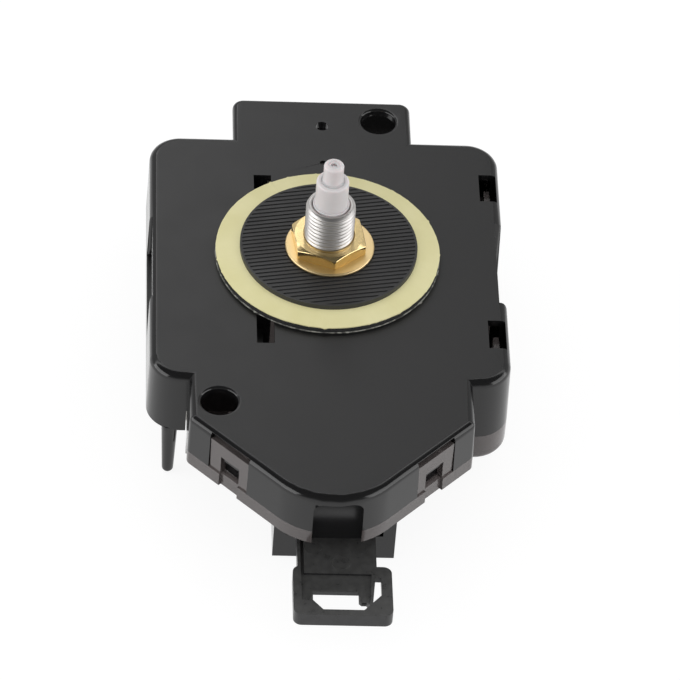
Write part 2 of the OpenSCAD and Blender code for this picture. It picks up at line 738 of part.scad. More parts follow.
// Washer with straight parallel grooves inside a plain rim
module rubber_washer() color([0.07, 0.07, 0.07]) at(rubber_at) difference() {
  ring(rubber_z, rubber_t, rubber_r, rubber_bore);
  n = floor((rubber_r - rubber_rim) / ridge_pitch);
  intersection() {
    rotate(ridge_turn) union() for (i = [-n:n])
      block([-rubber_r, (i - 0.2) * ridge_pitch, washer_z - ridge_depth], [rubber_r, (i + 0.2) * ridge_pitch, nut_z]);
    ring(rubber_z, rubber_t + 1, rubber_r - rubber_rim, washer_r - 1.1);
  }
}

module brass_washer() color([0.85, 0.68, 0.32]) at(washer_at) rotate_extrude() polygon([
  [washer_bore, washer_z], [washer_r - 0.15, washer_z], [washer_r, washer_z + 0.15],
  [washer_r, nut_z - 0.15], [washer_r - 0.15, nut_z], [washer_bore, nut_z]
]);

module hex_nut() color([0.88, 0.7, 0.33]) {
  corner = nut_af / 2 / cos(30);
  c = corner - nut_af / 2 + 0.15;
  difference() {
    intersection() {
      translate([0, 0, nut_z]) rotate(nut_turn) cylinder(h = nut_h, r = corner, $fn = 6);
      rotate_extrude() polygon([
        [0, nut_z], [corner, nut_z], [corner, nut_top - 0.25], [corner - c, nut_top], [0, nut_top]
      ]);
    }
    hole(nut_z, nut_top, foot_r + 0.02);
    translate([0, 0, nut_top - 0.5]) cylinder(h = 0.6, r1 = foot_r + 0.02, r2 = bush_r + 0.37);
  }
}

module hour_wheel() color([0.85, 0.83, 0.83]) difference() {
  union() {
    gear(hour_n, hour_m, hour_turn, hour_z, motion_t);
    bar(hour_z - motion_t, bush_top + 0.15, hour_body_r);
    bar(bush_top, hour_top - 0.4, hour_r);
    round_end(hour_top, hour_r, 0.4);
  }
  hole(hour_z - motion_t, hour_top, hour_bore);
}

module minute_shaft() color([0.87, 0.85, 0.86]) difference() {
  union() {
    gear(minute_n, motion_m, motion_angle, motion_z + 0.1, motion_t + 0.2);
    bar(motion_z + 0.1, hour_top + 0.05, minute_body_r);
    bar(centre_z + 0.05, motion_z - motion_t - 0.1, minute_body_r);
    bar(hour_top - 0.4, minute_top - 0.5, minute_r);
    round_end(minute_top, minute_r, 0.5);
    bar(centre_z + 0.1, centre_z - train_t - 0.22, tail_r);
    bar(centre_z - train_t - 0.07, centre_z - train_t - 0.22, tail_r + 0.25);
  }
  hole(centre_z - train_t, minute_top, minute_bore);
  // Shallow dish in the tip
  bar(minute_top + eps, minute_top - 0.15, 0.95);
}

module motion_wheel() color([0.88, 0.86, 0.8]) at(motion_xy) difference() {
  union() {
    wheel(motion_n, motion_m, motion_turn, motion_z, motion_t, 0, 2);
    gear(motion_pinion_n, hour_m, 0, hour_z + 0.05, hour_z - motion_z + 0.15);
    bar(floor_z - 0.25, plate_z + 0.15, 1.15);
  }
  hole(floor_z, plate_z, motion_post_r + run_gap);
}

module setting_arbor() color([0.88, 0.86, 0.8]) at(setting_xy) {
  gear(setting_n, motion_m, setting_turn, motion_z + 0.05, motion_t + 0.1);
  bar(floor_z - 0.4, motion_z, setting_tip_r);
  bar(setting_boss_z - 0.2, motion_z, setting_r);
  bar(motion_z - motion_t, knob_front - 0.4, setting_r);
  bar(-case_depth, knob_back + 0.4, setting_r - 0.2);
}

module setting_knob() color([0.12, 0.12, 0.12]) at(setting_xy) difference() {
  union() {
    slab(knob_back + 0.3, knob_front) difference() {
      circle(knob_r);
      for (i = [0:23]) rotate(15 * i) translate([knob_r + 0.1, 0]) circle(0.35, $fn = 16);
    }
    translate([0, 0, knob_back]) cylinder(h = 0.3, r1 = knob_r - 0.7, r2 = knob_r - 0.4);
  }
  bar(knob_front + eps, knob_front - 0.4, setting_r);
  bar(knob_front, knob_back + 0.4, setting_r - 0.2);
  // Two hollows for the fingertips
  for (s = [-1, 1]) at([0, s * 2.6]) bar(knob_back - eps, knob_back + 0.6, 1.2);
}

module centre_wheel() color([0.86, 0.84, 0.78])
  wheel(centre_n, centre_m, centre_turn, centre_z, train_t, tail_r + run_gap, 2.2);

// Arbor of a train wheel with its two pivots
module arbor(top) {
  bar(top, plate_back - 0.25, arbor_r);
  bar(top, boss_z + 0.1, arbor_r);
  bar(top, plate_z - 0.1, pivot_tip_r);
  bar(top, pivot_end, pivot_tip_r);
}

module third_wheel() color([0.86, 0.84, 0.78]) at(third_xy) {
  wheel(wheel_n, wheel_m, third_turn, third_z, train_t, 0, 1.6);
  gear(pinion_n, centre_m, third_angle + 180, centre_z + rise, centre_z - third_z + 2 * rise);
  arbor(third_z);
}

module second_wheel() color([0.86, 0.84, 0.78]) difference() {
  union() {
    wheel(wheel_n, wheel_m, second_turn, second_z, train_t, 0, 1.6);
    gear(pinion_n, wheel_m, third_angle, third_z + rise, third_z - second_z + 2 * rise);
    bar(second_z, second_z - train_t - 0.6, 0.9);
  }
  hole(third_z, second_z - train_t - 0.6, second_r);
}

// Steel arbor pressed into the second wheel; its end shows in the minute shaft's tip
module second_arbor() color([0.7, 0.7, 0.72]) {
  bar(minute_top - 0.5, boss_z + 0.1, second_r);
  bar(boss_z + 0.2, pivot_end, pivot_tip_r);
}

module intermediate_wheel() color([0.86, 0.84, 0.78]) at(intermediate_xy) {
  wheel(intermediate_n, rotor_m, intermediate_turn, intermediate_z, train_t, 0, 1.2);
  gear(pinion_n, wheel_m, intermediate_angle + 180, second_z + rise, second_z - intermediate_z + 2 * rise);
  arbor(intermediate_z);
}

module rotor_pinion() color([0.86, 0.84, 0.78]) at(rotor_xy) {
  gear(pinion_n, rotor_m, rotor_angle, intermediate_z + rise, train_t + 2 * rise);
  arbor(intermediate_z);
}

module rotor_magnet() color([0.3, 0.3, 0.32]) at(rotor_xy)
  ring(rotor_magnet_z - rotor_magnet_t, rotor_magnet_t, magnet_r, arbor_r);

// Stator: a ring round the rotor with two thin necks, and a leg to each end of the core
module stator() color([0.62, 0.62, 0.6]) {
  x = rotor_xy[0];
  y = rotor_xy[1];
  high = coil_y + core_half;
  low = coil_y - core_half;
  difference() {
    union() {
      at([x, y]) bar(stator_z, stator_z - stator_t, magnet_r + 1.5);
      slab(stator_z - stator_t, stator_z) polygon([[x - 1.5, y + 1.5], [x - 0.5, high + 1.2],
        [coil_x + 0.6, high + 1.2], [coil_x + 0.6, high - 1.2], [x + 3.2, high - 1.5], [x + 2.7, y + 1.2]]);
      slab(stator_z - stator_t, stator_z) polygon([[x - 1.5, y - 1.5], [x + 2.7, y - 1.2],
        [x + 3.9, low + 1.2], [coil_x + 0.6, low + 1.2], [coil_x + 0.6, low - 1.2], [x + 1.2, low - 1.2]]);
      for (v = [low, high]) at([coil_x, v]) bar(stator_z, stator_z - stator_t, 1.5);
    }
    at([x, y]) hole(stator_z, stator_z - stator_t, magnet_r + 0.3);
    for (s = [-1, 1]) at([x + s * (magnet_r + 1.6), y]) hole(stator_z, stator_z - stator_t, 0.9);
    for (v = [low, high]) at([coil_x, v]) hole(stator_z, stator_z - stator_t, peg_r + fit);
  }
}

module coil_core() color([0.55, 0.55, 0.54]) difference() {
  union() {
    block([coil_x - core_w / 2, coil_y - core_half, stator_z], [coil_x + core_w / 2, coil_y + core_half, core_top]);
    for (s = [-1, 1]) at([coil_x, coil_y + s * core_half]) bar(stator_z, core_top, 1.4);
  }
  for (s = [-1, 1]) at([coil_x, coil_y + s * core_half]) hole(stator_z, core_top, peg_r + fit);
}

// Round bar along the coil, between two places along Y
module coil_bar(y0, y1, r) translate([coil_x, coil_y + y0, stator_z + core_t / 2]) rotate([-90, 0, 0])
  cylinder(h = y1 - y0, r = r);

module coil_bobbin() color([0.8, 0.78, 0.7]) difference() {
  union() {
    coil_bar(-coil_len / 2, coil_len / 2, bobbin_r);
    coil_bar(-coil_len / 2, -coil_len / 2 + flange, coil_r);
    coil_bar(coil_len / 2 - flange, coil_len / 2, coil_r);
  }
  block([coil_x - core_w / 2, coil_y - coil_len, stator_z], [coil_x + core_w / 2, coil_y + coil_len, core_top]);
}

module drive_coil() color([0.7, 0.32, 0.14]) difference() {
  coil_bar(-coil_len / 2 + flange, coil_len / 2 - flange, coil_r - 0.3);
  coil_bar(-coil_len / 2, coil_len / 2, bobbin_r);
}

module circuit_board() color([0.1, 0.32, 0.17]) difference() {
  slab(board_z - board_t, board_z) rounded(board_left, board_low, board_right, board_high, 0.8);
  for (p = board_posts) at(p) hole(board_z, board_z - board_t, peg_r + fit);
}

// Black potting over the chip
module chip_cover() color([0.04, 0.04, 0.04]) translate([board_right - 5.3, board_low + 2, board_z - board_t])
  mirror([0, 0, 1])
    rotate_extrude() polygon(concat([[0, 0], [2, 0]], [for (a = [15:15:90]) [2 * cos(a), 0.8 * sin(a)]]));

module quartz_crystal() color([0.78, 0.78, 0.8])
  translate([board_left + 0.6, board_low + 1.2, board_z - board_t - 1]) rotate([0, 90, 0]) cylinder(h = 5, r = 1);

// Contact strip on an end wall of the bay: a plate, a sprung tongue and a tail to the gear side
module contact(y, s, tail) {
  x0 = contact_x[0];
  x1 = contact_x[1];
  mid = (x0 + x1) / 2;
  difference() {
    block([x0, y, -2.4], [x1, y - s * strip_t, -10.8]);
    block([mid - 2.6, y + s * eps, -4.2], [mid + 2.6, y - s * (strip_t + eps), -10]);
  }
  translate([mid - 2, y, 0]) rotate([90, 0, 90]) linear_extrude(4) polygon([
    [0, -4], [-s * strip_t, -4], [-s * contact_reach, -7], [-s * contact_reach, -8], [-s * strip_t, -9.6],
    [-s * (strip_t + 0.3), -9.5], [-s * (contact_reach + 0.3), -8.1], [-s * (contact_reach + 0.3), -6.9],
    [-s * (strip_t + 0.3), -4.1], [-s * strip_t, -3.6], [0, -3.6]
  ]);
  block([x1 - 0.5, y, -7.4], [tail, y - s * strip_t, -9]);
}

module contact_positive() color([0.72, 0.72, 0.7]) {
  contact(inner_top, 1, board_posts[0][0] - 2);
  block([board_posts[0][0] - 2, inner_top, -8.7], [board_posts[0][0] + 0.5, inner_top - 1.2, board_z]);
}

module contact_negative() color([0.72, 0.72, 0.7]) contact(inner_bottom, -1, part_x + 3);

// Housing behind the lower section, open to the front and slotted for the arm
module pendulum_housing() color([0.17, 0.17, 0.175]) difference() {
  union() {
    difference() {
      block([housing_left, housing_y, -low_back], [housing_right, housing_top_y, -housing_depth]);
      block([housing_left + wall, housing_y + wall, eps],
        [housing_right - wall, housing_top_y - wall, -housing_depth + wall]);
    }
    at([pend_x, pivot_y]) bar(-housing_depth + 0.1, hub_back - 0.15, 2);
    for (p = housing_pegs) at(p) {
      bar(-housing_depth + 0.1, -low_back, 0.8);
      bar(-housing_depth + 0.1, low_in, housing_peg_r);
    }
  }
  // Slot that the arm swings in, and the bore of the pivot pin
  block([arm_left - slot_room, housing_y - eps, hub_front - 0.6],
    [arm_left + arm_w + slot_room, housing_y + wall + 0.1, arm_z - arm_t - slot_gap]);
  at([pend_x, pivot_y]) bar(-housing_depth + 0.4, hub_back + eps, pivot_r);
}

module pivot_pin() color([0.7, 0.7, 0.72]) at([pend_x, pivot_y]) bar(-low_back - 0.3, -housing_depth + 0.4, pivot_r);

// Arm on its pivot with the hanger frame at its end
module pendulum_arm() color([0.2, 0.2, 0.205]) difference() {
  union() {
    slab(arm_z - arm_t, arm_z) difference() {
      union() {
        translate([pend_x, pivot_y]) circle(hub_r);
        polygon([
          [pend_x - hub_r, pivot_y], [arm_left, magnet_y + 1], [arm_left, hanger_top - 1],
          [arm_left + arm_w, hanger_top - 1], [arm_left + arm_w, magnet_y + 1], [pend_x + hub_r, pivot_y]
        ]);
        rounded(hanger_x, hanger_bottom, hanger_right, hanger_top, hanger_r);
      }
      // Window left of the tongue, with the narrow seat, and the slot right of it
      polygon([
        [window_left, pan_bottom], [window_left, window_side], [seat_left, window_bottom],
        [seat_right, window_bottom], [tongue[1] - 0.5, slant(tongue[1] - 0.5)], [tongue[1] - 1.05, tongue_end],
        [tongue[0] + 0.4, tongue_end], [tongue[0], tongue_end + 0.4], [tongue[0], pan_bottom]
      ]);
      polygon([
        [tongue[1], slant(tongue[1])], [window_right, corner_y], [window_right, slot_top],
        [tongue[1] + 0.5, slot_top]
      ]);
    }
    at([pend_x, pivot_y]) bar(hub_front, hub_back, hub_r);
    at([pend_x, magnet_y]) bar(hub_front, arm_z - 0.1, drive_magnet_r + collar_t);
  }
  at([pend_x, pivot_y]) hole(hub_front, hub_back, pivot_r + run_gap);
  at([pend_x, magnet_y]) bar(hub_front + eps, magnet_front - magnet_t, drive_magnet_r + 0.05);
  // Sunk pan and tongue of the hanger, the hollow behind them, and the groove along the arm's left side
  slab(pan_z, arm_z + eps) polygon([
    [hanger_x + 1.3, pan_top], [tongue[1] - 0.1, pan_top], [tongue[1] - 0.4, tongue_end + 0.2],
    [tongue[1] - 1, tongue_end - 0.1], [tongue[0] - 0.1, tongue_end - 0.1], [tongue[0] - 0.1, pan_bottom - 0.1],
    [window_left + 0.1, pan_bottom - 0.1], [window_left - 0.6, window_side], [hanger_x + 1.3, window_side]
  ]);
  block([hanger_x + rim_t, window_bottom, plate_back_z],
    [hanger_right - rim_t, hanger_top - rim_t, arm_z - arm_t - eps]);
  block([arm_left + 0.5, housing_y - 2, arm_z + eps], [arm_left + 1, pan_top, arm_z - 0.5]);
}

module drive_magnet() color([0.35, 0.35, 0.37]) at([pend_x, magnet_y])
  bar(magnet_front, magnet_front - magnet_t, drive_magnet_r);

// Bobbin that stands on the cover's lower floor over the magnet
module sensing_bobbin() color([0.8, 0.78, 0.7]) at([pend_x, magnet_y]) difference() {
  union() {
    bar(low_in, low_in + flange, sensing_r);
    bar(coil_top - flange, coil_top, sensing_r);
    bar(low_in, coil_top, 2.2);
  }
  hole(low_in, coil_top, 1.4);
}

module sensing_coil() color([0.7, 0.32, 0.14]) at([pend_x, magnet_y])
  ring(low_in + flange, coil_top - low_in - 2 * flange, sensing_r - 0.4, 2.2);

module pendulum_board() color([0.1, 0.32, 0.17]) difference() {
  slab(pend_board_z - board_t, pend_board_z)
    rounded(pend_posts[0][0] - 1.8, pend_board_y - 1.8, pend_posts[1][0] + 1.8, pend_board_y + 1.8, 0.8);
  for (p = pend_posts) at(p) hole(pend_board_z, pend_board_z - board_t, peg_r + fit);
}

front_case();
back_cover();
middle_plate();
dial_bush();
foam_pad();
pad_liner();
rubber_washer();
brass_washer();
hex_nut();
hour_wheel();
minute_shaft();
motion_wheel();
setting_arbor();
setting_knob();
centre_wheel();
third_wheel();
second_wheel();
second_arbor();
intermediate_wheel();
rotor_pinion();
rotor_magnet();
stator();
coil_core();
coil_bobbin();
drive_coil();
circuit_board();
chip_cover();
quartz_crystal();
contact_positive();
contact_negative();
pendulum_housing();
pivot_pin();
pendulum_arm();
drive_magnet();
sensing_bobbin();
sensing_coil();
pendulum_board();
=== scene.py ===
"""Looks of the pendulum clock movement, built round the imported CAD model. Lengths are in metres."""

import json
import math
import random

import bmesh
import bpy
from mathutils import Matrix, Vector, noise


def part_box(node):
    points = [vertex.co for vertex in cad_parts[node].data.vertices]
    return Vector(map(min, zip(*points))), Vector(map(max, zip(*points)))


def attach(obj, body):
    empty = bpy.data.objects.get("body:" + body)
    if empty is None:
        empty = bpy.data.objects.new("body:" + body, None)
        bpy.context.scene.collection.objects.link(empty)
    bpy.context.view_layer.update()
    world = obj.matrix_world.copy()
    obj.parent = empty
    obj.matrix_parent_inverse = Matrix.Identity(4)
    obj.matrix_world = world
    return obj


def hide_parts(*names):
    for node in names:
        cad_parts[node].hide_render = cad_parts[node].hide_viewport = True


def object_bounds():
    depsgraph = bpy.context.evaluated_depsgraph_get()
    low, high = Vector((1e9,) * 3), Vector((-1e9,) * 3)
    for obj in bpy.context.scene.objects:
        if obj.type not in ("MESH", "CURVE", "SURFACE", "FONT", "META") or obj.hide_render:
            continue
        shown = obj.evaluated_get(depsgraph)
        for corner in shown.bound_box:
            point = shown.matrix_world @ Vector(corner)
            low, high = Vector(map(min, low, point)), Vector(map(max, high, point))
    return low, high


MM = 0.001
SMOOTH_UP_TO = 21         # degrees between faces that still shade as one
EDGE_FROM = 32            # degrees between faces from which an edge is rounded

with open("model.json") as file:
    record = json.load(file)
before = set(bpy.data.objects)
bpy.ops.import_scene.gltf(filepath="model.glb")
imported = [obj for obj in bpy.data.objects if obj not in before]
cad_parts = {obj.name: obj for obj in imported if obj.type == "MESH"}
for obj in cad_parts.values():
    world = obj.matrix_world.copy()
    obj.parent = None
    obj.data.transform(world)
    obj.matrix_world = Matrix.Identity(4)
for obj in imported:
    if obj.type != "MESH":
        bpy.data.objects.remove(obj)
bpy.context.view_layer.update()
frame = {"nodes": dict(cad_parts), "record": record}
nodes = frame["nodes"]


# Camera

PICTURE = 680             # pixels each way
FOCAL_PX = 5284.3         # focal length in pixels of the picture
SENSOR = 36.0
CAMERA_AZIMUTH = -4.683
CAMERA_ELEVATION = 44.208
CAMERA_ROLL = 4.61
CAMERA_DEPTH = 841.83 * MM
ORIGIN_IN_PICTURE = (327.35, 254.92)


def camera_axes():
    """Right, up and backward directions of the camera."""
    a, e, roll = (math.radians(v) for v in (CAMERA_AZIMUTH, CAMERA_ELEVATION, CAMERA_ROLL))
    back = Vector((math.sin(a) * math.cos(e), -math.cos(a) * math.cos(e), math.sin(e)))
    level = Vector((math.cos(a), math.sin(a), 0))
    above = back.cross(level)
    right = level * math.cos(roll) + above * math.sin(roll)
    return right, back.cross(right), back


def make_camera():
    right, up, back = camera_axes()
    across = (ORIGIN_IN_PICTURE[0] - PICTURE / 2) / FOCAL_PX * CAMERA_DEPTH
    upward = (PICTURE / 2 - ORIGIN_IN_PICTURE[1]) / FOCAL_PX * CAMERA_DEPTH
    data = bpy.data.cameras.new("camera")
    data.sensor_width = SENSOR
    data.lens = FOCAL_PX * SENSOR / PICTURE
    data.clip_start = 0.05
    data.clip_end = 20
    camera = bpy.data.objects.new("camera", data)
    bpy.context.scene.collection.objects.link(camera)
    turn = Matrix((right, up, back)).transposed().to_4x4()
    camera.matrix_world = Matrix.Translation(back * CAMERA_DEPTH - right * across - up * upward) @ turn
    bpy.context.scene.camera = camera


# Mesh helpers

def add_object(name, verts, faces, smooth=True):
    mesh = bpy.data.meshes.new(name)
    mesh.from_pydata([tuple(v) for v in verts], [], faces)
    mesh.validate()
    mesh.polygons.foreach_set("use_smooth", [smooth] * len(mesh.polygons))
    obj = bpy.data.objects.new(name, mesh)
    bpy.context.scene.collection.objects.link(obj)
    return obj


def closed_loft(name, rings):
    """Skin over rings of equal point counts, the last joined to the first."""
    count = len(rings[0])
    verts = [p for ring in rings for p in ring]
    faces = []
    for j in range(len(rings)):
        a, b = j * count, (j + 1) % len(rings) * count
        for i in range(count):
            k = (i + 1) % count
            faces.append((a + i, a + k, b + k, b + i))
    return add_object(name, verts, faces)


def circle(r, z, count):
    turns = (2 * math.pi * i / count for i in range(count))
    return [(r * math.cos(turn), r * math.sin(turn), z) for turn in turns]


def sharpen(obj, angle):
    """Marks the edges over this angle as sharp, so that only rounded faces shade smoothly."""
    bm = bmesh.new()
    bm.from_mesh(obj.data)
    limit = math.radians(angle)
    for edge in bm.edges:
        edge.smooth = len(edge.link_faces) == 2 and edge.calc_face_angle(0) < limit
    bm.to_mesh(obj.data)
    bm.free()


def smoothing_nodes():
    """Geometry nodes that shade smoothly up to an edge angle and sharply beyond it."""
    group = bpy.data.node_groups.new("smooth_by_angle", "GeometryNodeTree")
    group.interface.new_socket("Mesh", in_out="INPUT", socket_type="NodeSocketGeometry")
    group.interface.new_socket("Mesh", in_out="OUTPUT", socket_type="NodeSocketGeometry")
    new, link = group.nodes.new, group.links.new
    source, result = new("NodeGroupInput"), new("NodeGroupOutput")
    shade = new("GeometryNodeSetShadeSmooth")
    normal = new("GeometryNodeSetMeshNormal")
    normal.mode = "SHARPNESS"
    normal.inputs["Remove Custom"].default_value = True
    edge = new("GeometryNodeInputMeshEdgeAngle")
    steep = new("FunctionNodeCompare")
    steep.data_type = "FLOAT"
    steep.operation = "GREATER_THAN"
    steep.inputs["B"].default_value = math.radians(SMOOTH_UP_TO)
    link(source.outputs[0], shade.inputs["Geometry"])
    link(shade.outputs[0], normal.inputs["Mesh"])
    link(edge.outputs["Unsigned Angle"], steep.inputs["A"])
    link(steep.outputs[0], normal.inputs["Edge Sharpness"])
    link(normal.outputs[0], result.inputs[0])
    return group


def soften(obj, group, width=0.0):
    """Rounds the edges and smooths the curved faces with modifiers, flat faces staying flat."""
    weld = obj.modifiers.new("weld", "WELD")
    weld.merge_threshold = 0.002 * MM
    if width:
        bevel = obj.modifiers.new("bevel", "BEVEL")
        bevel.width = width * MM
        bevel.segments = 2
        bevel.limit_method = "ANGLE"
        bevel.angle_limit = math.radians(EDGE_FROM)
        bevel.miter_outer = "MITER_ARC"
    obj.modifiers.new("smooth", "NODES").node_group = group
    weighted = obj.modifiers.new("weighted", "WEIGHTED_NORMAL")
    weighted.keep_sharp = True


# Materials

class Shader:
    """A Principled material under construction."""

    def __init__(self, name, color=(0.5, 0.5, 0.5), rough=0.5, metal=0.0, ior=1.5):
        self.material = bpy.data.materials.new(name)
        self.material.use_nodes = True
        self.tree = self.material.node_tree
        self.bsdf = self.tree.nodes["Principled BSDF"]
        self.set("Base Color", (*color, 1))
        self.set("Roughness", rough)
        self.set("Metallic", metal)
        self.set("IOR", ior)
        self.place = self.node("ShaderNodeTexCoord").outputs["Object"]

    def node(self, kind, **settings):
        made = self.tree.nodes.new(kind)
        for key, value in settings.items():
            setattr(made, key, value)
        return made

    def set(self, socket, value):
        self.bsdf.inputs[socket].default_value = value
        return self

    def link(self, a, b):
        self.tree.links.new(a, b)
        return self

    def noise(self, size, detail=3.0, stretch=(1, 1, 1)):
        """Noise with features of this size in millimetres."""
        mapping = self.node("ShaderNodeMapping")
        mapping.inputs["Scale"].default_value = stretch
        self.link(self.place, mapping.inputs["Vector"])
        made = self.node("ShaderNodeTexNoise")
        made.inputs["Scale"].default_value = 1 / (size * MM)
        made.inputs["Detail"].default_value = detail
        self.link(mapping.outputs["Vector"], made.inputs["Vector"])
        return made.outputs["Fac"]

    def ramp(self, value, low, high, out_low=0.0, out_high=1.0):
        made = self.node("ShaderNodeMapRange")
        for key, number in zip(("From Min", "From Max", "To Min", "To Max"), (low, high, out_low, out_high)):
            made.inputs[key].default_value = number
        self.link(value, made.inputs["Value"])
        return made.outputs["Result"]

    def math(self, operation, a, b=0.0):
        made = self.node("ShaderNodeMath", operation=operation)
        for socket, value in zip(made.inputs, (a, b)):
            if isinstance(value, (int, float)):
                socket.default_value = value
            else:
                self.link(value, socket)
        return made.outputs["Value"]

    def mix_color(self, factor, a, b):
        made = self.node("ShaderNodeMix", data_type="RGBA")
        colors = [s for s in made.inputs if s.type == "RGBA"]
        for socket, value in zip(colors, (a, b)):
            if isinstance(value, tuple):
                socket.default_value = (*value, 1)
            else:
                self.link(value, socket)
        self.link(factor, made.inputs[0])
        return next(s for s in made.outputs if s.type == "RGBA")

    def bump(self, height, depth, strength=1.0):
        """Bump of this depth in millimetres."""
        made = self.node("ShaderNodeBump")
        made.inputs["Strength"].default_value = strength
        made.inputs["Distance"].default_value = depth * MM
        self.link(height, made.inputs["Height"])
        if self.bsdf.inputs["Normal"].links:
            self.link(self.bsdf.inputs["Normal"].links[0].from_socket, made.inputs["Normal"])
        self.link(made.outputs["Normal"], self.bsdf.inputs["Normal"])
        return self

    def color(self, socket):
        return self.link(socket, self.bsdf.inputs["Base Color"])

    def rough(self, socket):
        return self.link(socket, self.bsdf.inputs["Roughness"])

    def split(self, vector):
        made = self.node("ShaderNodeSeparateXYZ")
        self.link(vector, made.inputs[0])
        return made.outputs


def black_plastic():
    """Moulded ABS: fine matt grain on the flat faces, glossy walls and fillets."""
    s = Shader("black_plastic", rough=0.2)
    up = s.split(s.node("ShaderNodeNewGeometry").outputs["Normal"])[2]
    flat = s.ramp(s.math("ABSOLUTE", up), 0.985, 0.999)
    grain = s.noise(0.09, detail=2)
    cloud = s.noise(7, detail=3)
    s.color(s.mix_color(cloud, (0.006, 0.006, 0.0064), (0.009, 0.009, 0.0094)))
    s.rough(s.math("ADD", s.ramp(flat, 0, 1, 0.14, 0.4), s.ramp(cloud, 0.3, 0.7, -0.02, 0.03)))
    s.bump(s.math("MULTIPLY", grain, s.ramp(flat, 0, 1, 0.15, 1)), 0.008, 0.6)
    s.bump(s.noise(4, detail=1), 0.01, 0.25)
    return s.material


def smoke_plastic():
    """Translucent smoke-brown styrene."""
    s = Shader("smoke_plastic", color=(0.165, 0.144, 0.141), rough=0.1, ior=1.55)
    s.set("Transmission Weight", 0.5)
    s.rough(s.ramp(s.noise(2.5), 0.3, 0.7, 0.08, 0.16))
    s.bump(s.noise(5, detail=1), 0.01, 0.3)
    return s.material


EJECTOR_MARKS = ((-2.7, -51.8), (4.2, -51.6), (1.5, -55.0))
EJECTOR_R = 1.4


def hanger_plastic():
    """Black acetal with a satin surface and faint round ejector marks, with painted light: faces that point
    up are coloured lighter.
    """
    s = Shader("hanger_plastic", rough=0.45)
    cloud = s.noise(1.2, detail=5)
    up = s.split(s.node("ShaderNodeNewGeometry").outputs["Normal"])[2]
    # Faces that point up get the lighter tone as painted light, standing in for the brighter reflection they
    # show; the mottling within each tone is the acetal's own.
    own_tone = s.mix_color(s.ramp(cloud, 0.3, 0.7), (0.015, 0.015, 0.0155), (0.025, 0.025, 0.026))
    painted_top_light = s.mix_color(s.ramp(cloud, 0.3, 0.7), (0.042, 0.042, 0.0415), (0.062, 0.062, 0.061))
    s.color(s.mix_color(s.ramp(up, 0.5, 0.95), own_tone, painted_top_light))
    s.rough(s.ramp(cloud, 0.3, 0.7, 0.26, 0.36))
    s.bump(s.noise(0.12, detail=2), 0.012, 0.5)
    x, y, _ = s.split(s.place)
    marks = 0.0
    for place in EJECTOR_MARKS:
        away = [s.math("POWER", s.math("SUBTRACT", axis, at * MM), 2.0) for axis, at in zip((x, y), place)]
        rim = s.math("ABSOLUTE", s.math("SUBTRACT", s.math("SQRT", s.math("ADD", *away)), EJECTOR_R * MM))
        marks = s.math("MAXIMUM", s.ramp(rim, 0, 0.1 * MM, 1, 0), marks)
    s.bump(marks, 0.05, 0.8)
    return s.material


def satin_plastic(name, dark, light, translucency=0.0, rough=0.4):
    """Moulded plastic, clouded between a dark and a light tone, with light soaking in if translucent."""
    s = Shader(name, rough=rough)
    cloud = s.noise(2.5, detail=3)
    s.color(s.mix_color(cloud, dark, light))
    s.rough(s.ramp(cloud, 0.3, 0.7, rough - 0.05, rough + 0.06))
    if translucency:
        s.set("Subsurface Weight", translucency)
        s.set("Subsurface Radius", (1.6, 1.2, 1.2))
        s.set("Subsurface Scale", 0.9 * MM)
    s.bump(s.noise(0.4, detail=2), 0.006, 0.4)
    return s.material


def plated(name, color, rough, streaks=(1, 1, 1)):
    """Metal with fine wear and streaks, which a scale per axis stretches."""
    s = Shader(name, color=color, rough=rough, metal=1)
    streak = s.noise(0.3, detail=3, stretch=streaks)
    cloud = s.noise(2.2, detail=3)
    worn = s.ramp(streak, 0.3, 0.7, rough - 0.04, rough + 0.05)
    handled = s.ramp(cloud, 0.3, 0.7, -0.02, 0.04)
    s.rough(s.math("ADD", worn, handled))
    darker = tuple(c * 0.86 for c in color)
    s.color(s.mix_color(s.ramp(cloud, 0.35, 0.75), color, darker))
    s.bump(streak, 0.004, 0.4)
    return s.material


def ring_brushed(name, color, rough):
    """Flat metal with turning marks round the shaft axis."""
    s = Shader(name, color=color, rough=rough, metal=1)
    x, y, _ = s.split(s.place)
    radius = s.math("SQRT", s.math("ADD", s.math("MULTIPLY", x, x), s.math("MULTIPLY", y, y)))
    combine = s.node("ShaderNodeCombineXYZ")
    s.link(radius, combine.inputs[0])
    marks = s.node("ShaderNodeTexNoise")
    marks.inputs["Scale"].default_value = 1 / (0.06 * MM)
    s.link(combine.outputs[0], marks.inputs["Vector"])
    s.rough(s.ramp(marks.outputs["Fac"], 0.3, 0.7, rough - 0.05, rough + 0.07))
    s.bump(marks.outputs["Fac"], 0.004, 0.5)
    return s.material


def foam_film():
    """Whitish film under the foam, dirty in places."""
    s = Shader("foam_film", rough=0.5)
    patch = s.ramp(s.noise(0.8, detail=4), 0.42, 0.6)
    s.color(s.mix_color(patch, (0.06, 0.06, 0.056), (0.36, 0.36, 0.32)))
    s.bump(s.noise(0.3, detail=3), 0.02, 0.6)
    return s.material


def foam():
    """Black foam with small open cells."""
    s = Shader("foam", rough=0.9)
    cells = s.node("ShaderNodeTexVoronoi")
    cells.inputs["Scale"].default_value = 1 / (0.22 * MM)
    s.link(s.place, cells.inputs["Vector"])
    s.color(s.mix_color(cells.outputs["Distance"], (0.01, 0.01, 0.01), (0.03, 0.03, 0.03)))
    s.bump(cells.outputs["Distance"], 0.06, 0.7)
    return s.material


def release_paper():
    """Pale yellow waxed paper with faint creases."""
    s = Shader("release_paper", rough=0.45)
    cloud = s.noise(6, detail=4)
    s.color(s.mix_color(s.ramp(cloud, 0.3, 0.7), (0.76, 0.71, 0.37), (0.82, 0.77, 0.44)))
    s.rough(s.ramp(cloud, 0.3, 0.7, 0.4, 0.55))
    s.bump(s.noise(5, detail=2), 0.05, 0.4)
    s.bump(s.noise(0.25, detail=2), 0.006, 0.5)
    return s.material


